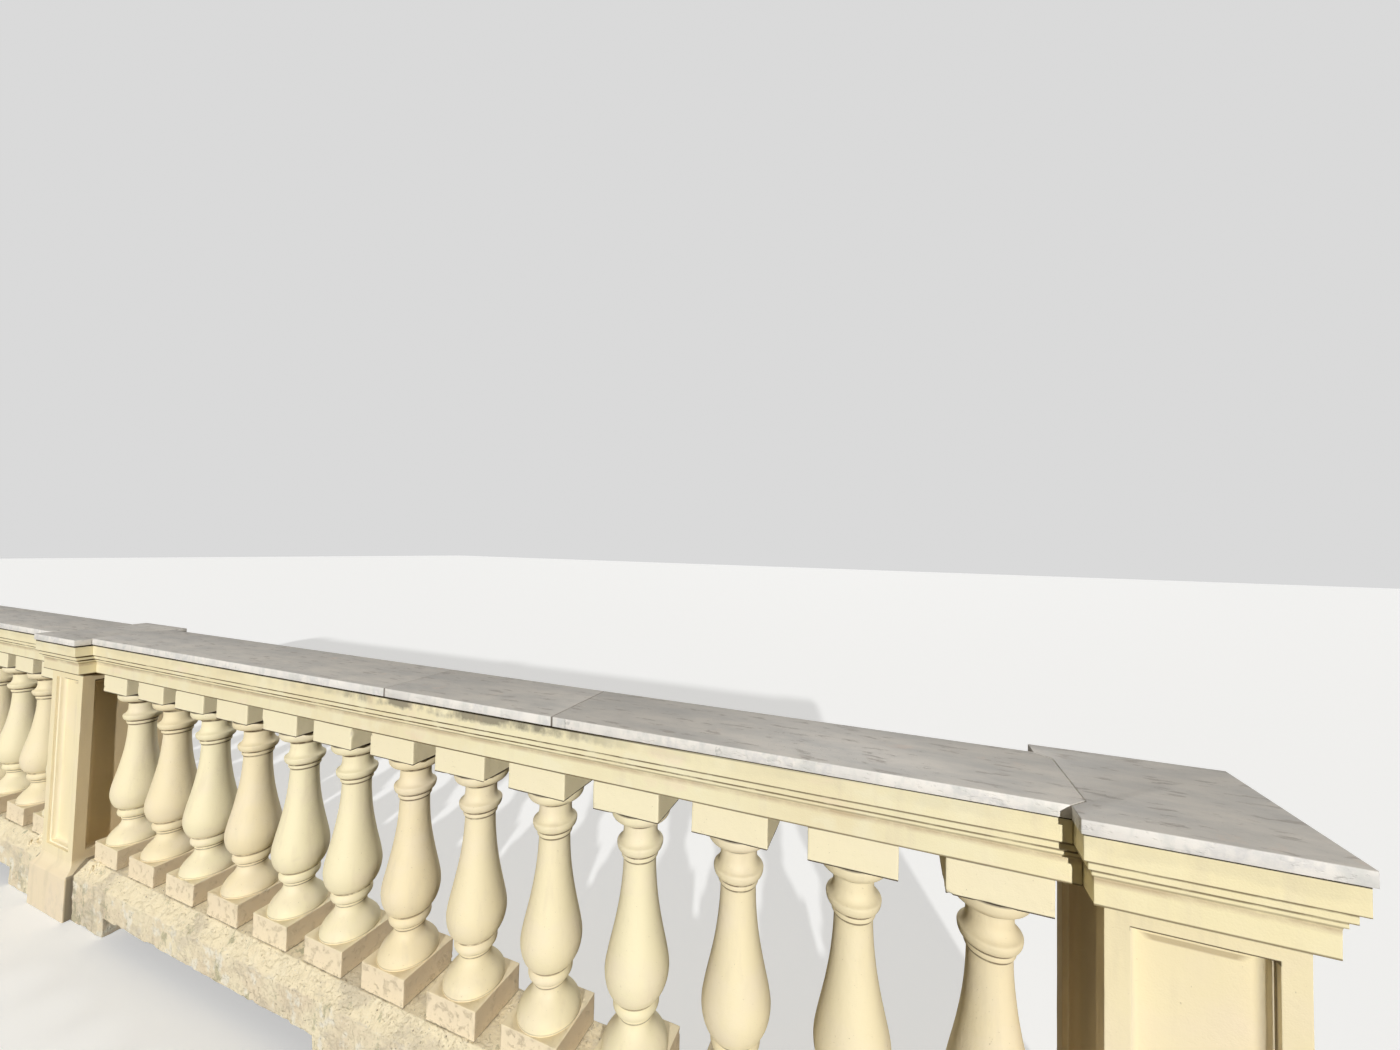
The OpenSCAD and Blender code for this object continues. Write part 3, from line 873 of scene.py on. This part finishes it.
def rail_mesh(left):
    """A rail whose ends follow the caps' mouldings"""
    rows = refined(moulding(rail_half), moulding_cell)
    shares = [x / bay for x in spread(0, bay, rail_cell_along)]
    across = [y / rail_half for y in spread(-rail_half, rail_half, rail_cell_across)]

    def along(share, half):
        """Place along the rail, between the caps' faces at the same height"""
        reach = half - rail_half + cap_half + rail_joint
        return left + reach + (bay - 2 * reach) * share

    mesh = bmesh.new()
    for side in (-1, 1):
        patch(mesh, shares, rows, lambda share, row: (along(share, row[0]), side * row[0], row[1]))
    for row in (rows[0], rows[-1]):
        patch(mesh, shares, across, lambda share, t: (along(share, row[0]), t * row[0], row[1]))
    for end in (0, 1):
        patch(mesh, across, rows, lambda t, row: (along(end, row[0]), t * row[0], row[1]))
    return closed(mesh, "rail")


def mould_under_marble(place, fascia_low):
    """Black mould and rusty stains that run down the upper fascia"""
    along = axis(place, "X")
    reach_down = between(axis(place, "Z"), fascia_low, rail_high[2])
    middle = times(between(along, *mould_start), between(along, *mould_end))
    often = between(middle, 0, 1, 0.12, 1)
    ragged = reckon("ADD", reach_down, grain(place, 15, 8, (1, 1, 0.8), 0.68))
    mould = times(between(ragged, 0.84, 1.06),
                  spots(place, 0.38, 0.52, 11, 6, (1, 1, 0.7), 0.6),
                  spots(place, 0.32, 0.46, 5, 4, (1, 1, 0.3)), often)
    rust = times(spots(place, 0.55, 0.68, 21, 6, (1, 1, 0.3), 0.6), middle, reach_down)
    return (black_mould, mould, 0.9), (rust_stain, rust, 0.5)


def rail_shade_and_dirt_lines(place, low_step, high_step, fascia_low):
    """Dark lines of painted shade and dirt under every step of the mouldings, fainter towards the right end
    """
    height, along = axis(place, "Z"), axis(place, "X")
    worn = spots(place, 0.20, 0.48, 25, 5)
    faint = between(along, 2.0, 2.8, 1, 0.78)
    steps = [(step_dirt_and_shade, times(under(height, level, reach, 0.0020), worn, share), faint)
             for level, reach, share in ((low_step, 0.0035, 0.4), (high_step, 0.0050, 1),
                                         (fascia_low, 0.0055, 1))]
    return steps + [
        (step_dirt_and_shade, times(under(height, rail_low[2], 0.004, 0.0034), faint), 0.95),
        (bed_line_and_shade, under(height, rail_high[2], 0.0035), 1),
        (bed_line_and_shade, under(height, rail_high[2], 0.0065), between(along, 2.9, 2.2))]


def rail_material():
    finish, shader, place = material_start("painted rail render", 0.72)
    low_step = rail_low[2] + lower_fascia + hollow_height
    high_step, fascia_low = low_step + lower_fillet, low_step + lower_fillet + upper_fillet
    # Painted shade and soot along the top of the hollow.
    soot_and_shade = times(seam(axis(place, "Z"), low_step - 0.006, 0.008),
                 spots(place, 0.30, 0.55, 20, 7, (0.6, 1, 1), 0.65))
    colour = washes(rail_cream, (
        (rail_warm, spots(place, 0.36, 0.68, 2.6), 1),
        (rail_pale, spots(place, 0.5, 0.64, 16), 0.4),
        (right_cap_paint, between(axis(place, "X"), 2.9, 3.15), 0.6),
        (rosy_blush, spots(place, 0.60, 0.68, 11, 5, (0.5, 1, 1)), 0.35),
        (rail_run, spots(place, 0.55, 0.7, 30, 4, (1, 1, 0.1)), 0.25),
        *mould_under_marble(place, fascia_low),
        # Paler chipped arrises; painted shade and soot in the hollow.
        (chipped_rail, marked(place, "chipped"), 0.8), (hollow_soot_and_shade, soot_and_shade, 0.7),
        # Dark lines of painted shade and dirt under the steps and the marble.
        *rail_shade_and_dirt_lines(place, low_step, high_step, fascia_low)))
    surface(shader, colour, ((grain(place, 40, 5), 0.0010), (grain(place, 360, 3), 0.0004)))
    return finish


rail_finish = rail_material()
cap_rows = refined(moulding(cap_half), moulding_cell)
cap_across = [x / cap_half for x in spread(-cap_half, cap_half, cap_cell)]
for number, x in enumerate(pier_places, 1):
    piece = grown(f"mitred_cap_{number}", square_block(cap_rows, cap_across, Vector((x, 0, 0)), "cap"),
                  weathering, {"Rounding": 1, "Chip Depth": 6, "Chip Limit": 0.63, "Chip Scale": 26,
                               "Swelling": 0.002, "Swelling Scale": 7, "Seed": 31 + number,
                               "Finish": rail_finish})
    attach(piece, "root")
    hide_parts(f"pier_cap_{number}")
for number in (1, 2):
    piece = grown(f"moulded_rail_{number}", rail_mesh(pier_places[number - 1]), weathering, {
        "Rounding": 1, "Chip Depth": 6, "Chip Limit": 0.62, "Chip Scale": 22, "Swelling": 0.003,
        "Swelling Scale": 5, "Seed": 41 + number, "Finish": rail_finish})
    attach(piece, "root")
    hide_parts(f"rail_{number}")

# Coping: thin sawn slabs of grey-veined white marble, bedded on the rail with fine open joints.
# Square slabs step out over the piers and take the mitred ends of the long ones.
# The tops are weathered grey with fine drawn-out pits; the sawn edges stay bright, and dirt fills the joints.
slab_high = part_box("coping_2")[1][2]
slab_joints = (1.645, 2.166)
slab_bevel = 0.0012
marble_white = (0.92, 0.875, 0.80)
marble_grey = (0.80, 0.77, 0.72)
vein_grey = (0.54, 0.54, 0.55)
marble_mottle = (0.68, 0.68, 0.63)
edge_spot = (0.36, 0.36, 0.32)
joint_black = (0.16, 0.13, 0.10)
top_pale = (0.59, 0.55, 0.49)
top_grey = (0.465, 0.445, 0.41)
top_dash = (0.36, 0.32, 0.28)
top_rust = (0.66, 0.52, 0.42)
top_grit = (0.45, 0.42, 0.38)
top_joint = (0.42, 0.38, 0.33)


def weathered_top(place, dashes, joints):
    """The colour of the slabs' weathered upper faces"""
    return washes(top_pale, (
        (top_grey, spots(place, 0.40, 0.64, 11, 7, (0.5, 1.4, 1), 0.65), 1),
        (top_dash, dashes, 0.75),
        (top_rust, spots(place, 0.64, 0.70, 11), 0.35),
        (top_grit, spots(place, 0.62, 0.68, 190, 3, (1, 1, 1), 0.65), 0.4),
        (top_joint, joints, 0.6)))


def marble_material():
    finish, shader, place = material_start("weathered white marble", 0.5)
    along = reckon("WRAP", axis(place, "X"), bay, 0)
    first, second = [between(seam(along, joint, 0.0036), 0, 0.6) for joint in slab_joints]
    joints = reckon("MAXIMUM", first, second)
    dashes = spots(place, 0.585, 0.64, 34, 5, (0.45, 1.9, 1), 0.6)
    on_top = between(axis(place, "Z"), slab_high - 0.0012, slab_high - 0.0004)
    colour = washes(marble_white, (
        (marble_grey, spots(place, 0.42, 0.68, 13, 5), 1),
        (vein_grey, seam(grain(place, 3.2, 7, (1, 2.2, 1), 0.62), 0.5, 0.03), 0.4),
        (marble_mottle, spots(place, 0.48, 0.66, 42, 5, (1, 1, 0.6), 0.6), 0.6),
        (edge_spot, spots(place, 0.66, 0.72, 26, 5, (1, 1, 0.7), 0.6), 0.7),
        (joint_black, joints, 0.9),
        (weathered_top(place, dashes, joints), on_top, 1)))
    pits = spots(place, 0.62, 0.7, 150, 3, (0.5, 1, 1), 0.6)
    surface(shader, colour, (
        (grain(place, 12, 4), 0.0015), (pits, -0.0007), (dashes, -0.0008),
        (grain(place, 500, 2), 0.0003)))
    return finish


marble_finish = marble_material()
for node in ("pier_coping_1", "pier_coping_2", "pier_coping_3", "coping_1", "coping_2"):
    slabs = bmesh.new()
    slabs.from_mesh(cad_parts[node].data)
    bmesh.ops.remove_doubles(slabs, verts=slabs.verts, dist=1e-5)
    bmesh.ops.dissolve_limit(slabs, angle_limit=math.radians(1), verts=slabs.verts, edges=slabs.edges)
    sharp = [edge for edge in slabs.edges if edge.calc_face_angle(0) > math.radians(20)]
    bmesh.ops.bevel(slabs, geom=sharp, offset=slab_bevel, segments=2, affect="EDGES", profile=0.5)
    data = bpy.data.meshes.new(node)
    slabs.to_mesh(data)
    slabs.free()
    data.shade_smooth()
    data.set_sharp_from_angle(angle=math.radians(35))
    data.materials.append(marble_finish)
    piece = bpy.data.objects.new(f"marble_{node}", data)
    bpy.context.scene.collection.objects.link(piece)
    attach(piece, "root")
    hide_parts(node)

# Mortar crumbs and rubble: bits of bedding mortar and render, broken off and loose on the kerb.
# Crumbs of a few millimetres lie thickly along the plinths and between them, and thinly on the splays.
# Lumps of render of about a centimetre lie at the ends of the kerbs, beside the piers.
crumb_size = 0.0035
crumb_density = 1500.0
rubble_size = 0.0120
rubble_density = 6500.0
rubble_run = 0.12
rubble_gap = 0.004
rubble_depth = 0.03
rubble_drop = 0.022
crumb_tuck = 0.010
crumb_drop = 0.018
any_turn = (6.28, 6.28, 6.28)
mortar_pale = (0.66, 0.58, 0.42)
mortar_dark = (0.30, 0.25, 0.18)


def crumb_tree():
    """Scatters rough lumps over strips, thick in some places and none in others"""
    tree = bpy.data.node_groups.new("mortar crumbs", "GeometryNodeTree")
    given, end = ports(tree, (
        ("Strip", "NodeSocketGeometry", None), ("Density", "NodeSocketFloat", crumb_density),
        ("Lump Size", "NodeSocketFloat", crumb_size), ("Seed", "NodeSocketInt", 3),
        ("Roundness", "NodeSocketInt", 1), ("Finish", "NodeSocketMaterial", None)))
    place = add(tree, "GeometryNodeInputPosition", {})
    drift = add(tree, "ShaderNodeTexNoise", {"Vector": place, "Scale": 9, "Detail": 3})
    density = times(between(drift, 0.42, 0.62), given["Density"])
    points = add(tree, "GeometryNodeDistributePointsOnFaces", {"Mesh": given["Strip"], "Density": density,
                 "Seed": given["Seed"]})
    lump = add(tree, "GeometryNodeMeshIcoSphere", {"Radius": 1, "Subdivisions": given["Roundness"]})
    size = add(tree, "FunctionNodeRandomValue", {2: 0.25, 3: 1.0, "Seed": given["Seed"]}, 1,
               data_type="FLOAT")
    squat, turn = [add(tree, "FunctionNodeRandomValue", {0: least, 1: most, "Seed": seed},
                       data_type="FLOAT_VECTOR")
                   for least, most, seed in (((0.6, 0.6, 0.4), (1.3, 1.0, 0.8), 5), ((0, 0, 0), any_turn, 8))]
    scale = longer(squat, times(size, given["Lump Size"]))
    lumps = add(tree, "GeometryNodeInstanceOnPoints", {"Points": points, "Instance": lump, "Rotation": turn,
                "Scale": scale})
    lumps = add(tree, "GeometryNodeRealizeInstances", {"Geometry": lumps})
    rough = add(tree, "ShaderNodeTexNoise", {"Vector": place, "Scale": 90, "Detail": 4}, 1)
    rough = longer(move("SUBTRACT", rough, (0.5, 0.5, 0.5)), given["Lump Size"])
    lumps = add(tree, "GeometryNodeSetPosition", {"Geometry": lumps, "Offset": rough})
    return ended(tree, lumps, given["Finish"], end)


def mortar_material():
    finish, shader, place = material_start("loose mortar", 0.95)
    colour = over(mortar_pale, mortar_dark, spots(place, 0.42, 0.58, 160, 2))
    surface(shader, colour, ((grain(place, 700, 2), 0.0005),))
    return finish


def ledge_strip(mesh, side, places, inner, drop):
    """A strip of one side's ledge, from inner to the top's edge and on down the splay by drop"""
    rows = [(inner, kerb_height), (kerb_top_half, kerb_height), (kerb_top_half + drop, kerb_height - drop)]
    patch(mesh, places, rows, lambda x, row: (x, side * row[0], row[1]))


crumbs = crumb_tree()
mortar_finish = mortar_material()
for number in (1, 2):
    start, end = pier_places[number - 1] + base_half, pier_places[number] - base_half
    whole_length = numpy.linspace(start, end, 60).tolist()
    strips = bmesh.new()
    corners = bmesh.new()
    for side in (-1, 1):
        ledge_strip(strips, side, whole_length, plinth_width / 2 - crumb_tuck, crumb_drop)
        for near in (start + rubble_gap, end - rubble_gap - rubble_run):
            places = numpy.linspace(near, near + rubble_run, 13).tolist()
            ledge_strip(corners, side, places, kerb_top_half - rubble_depth, rubble_drop)
    patch(strips, whole_length, (-kerb_top_half, kerb_top_half), lambda x, y: (x, y, kerb_height))
    for name, strip, density, size, roundness, finish in (
            ("crumbs", strips, crumb_density, crumb_size, 1, mortar_finish),
            ("rubble", corners, rubble_density, rubble_size, 2, kerb_finish)):
        data = bpy.data.meshes.new(name)
        strip.to_mesh(data)
        strip.free()
        piece = grown(f"mortar_{name}_{number}", data, crumbs, {
            "Density": density, "Lump Size": size, "Seed": 3 + number, "Roundness": roundness,
            "Finish": finish})
        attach(piece, "root")

# Studio: a pale floor that carries the shadow, a low sun from the front right, a weaker and softer one from
# behind, and a pale sky that lights from above. The camera stands where the photograph was taken.
floor_half = 40
floor_bounce = (0.09, 0.075, 0.055)
floor_seen = (0.80, 0.80, 0.79)
floor_glow = (0.98, 0.99, 1, 1)
floor_glow_strength = 0.32
floor_mesh = bpy.data.meshes.new("floor")
floor_corners = [(x * floor_half, y * floor_half, 0) for x, y in ((-1, -1), (1, -1), (1, 1), (-1, 1))]
floor_mesh.from_pydata(floor_corners, [], [(0, 1, 2, 3)])
floor = bpy.data.objects.new("floor", floor_mesh)
bpy.context.scene.collection.objects.link(floor)
floor_finish, shader, place = material_start("studio floor", 0.9)
floor_tree = shader.id_data
looked_at = add(floor_tree, "ShaderNodeLightPath", {}, "Is Camera Ray")
floor_tree.links.new(over(floor_bounce, floor_seen, looked_at), shader.inputs["Base Color"])
shader.inputs["Emission Color"].default_value = floor_glow
floor_tree.links.new(times(looked_at, floor_glow_strength), shader.inputs["Emission Strength"])
floor_mesh.materials.append(floor_finish)
floor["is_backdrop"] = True

camera_place = (2.8636, -1.0507, 1.3802)
camera_yaw, camera_pitch, camera_roll = 20.87, 1.83, 1.34
photo_width_px = 1400
focal_px = 503.46
centre_right_px = 0.88
centre_up_px = 7.02
sensor_width = 36
camera = bpy.data.objects.new("camera", bpy.data.cameras.new("camera"))
camera.data.sensor_width = sensor_width
camera.data.lens = sensor_width * focal_px / photo_width_px
camera.data.shift_x = centre_right_px / photo_width_px
camera.data.shift_y = centre_up_px / photo_width_px
camera.data.clip_start = 0.05
camera.matrix_world = (Matrix.Translation(camera_place) @ Matrix.Rotation(math.radians(camera_yaw), 4, "Z")
                       @ Matrix.Rotation(math.radians(90 + camera_pitch), 4, "X")
                       @ Matrix.Rotation(math.radians(camera_roll), 4, "Z"))
bpy.context.scene.collection.objects.link(camera)
bpy.context.scene.camera = camera

lamps = (("sun", 3.13, 1.2, (-0.34, 1.0, -0.28)), ("fill", 1.1, 30, (0.06, -1.0, -0.9)))
for name, energy, width, shines in lamps:
    lamp = bpy.data.objects.new(name, bpy.data.lights.new(name, "SUN"))
    lamp.data.energy = energy
    lamp.data.angle = math.radians(width)
    lamp.rotation_euler = Vector(shines).to_track_quat("-Z", "Y").to_euler()
    bpy.context.scene.collection.objects.link(lamp)

sky_strength = 0.55
sky_seen_strength = 0.70
sky_warm = (1, 0.94, 0.84)
world = bpy.data.worlds.new("studio")
bpy.context.scene.world = world
world.use_nodes = True
sky = world.node_tree
upward = axis(add(sky, "ShaderNodeTexCoord", {}, "Generated"), "Z")
overhead = between(upward, 0, 1)
light = times(overhead, overhead, overhead, overhead, sky_strength)
rays = sky.nodes.new("ShaderNodeLightPath").outputs
seen = reckon("MAXIMUM", rays["Is Camera Ray"], rays["Is Glossy Ray"])
seen = reckon("MAXIMUM", seen, rays["Is Transmission Ray"])
strength = add(sky, "ShaderNodeMix", {0: seen, 2: light, 3: sky_seen_strength}, data_type="FLOAT")
sky.links.new(strength, sky.nodes["Background"].inputs["Strength"])
sky.links.new(over(sky_warm, (1, 1, 1), seen), sky.nodes["Background"].inputs["Color"])
bpy.context.scene.view_settings.view_transform = "Standard"

low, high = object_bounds()
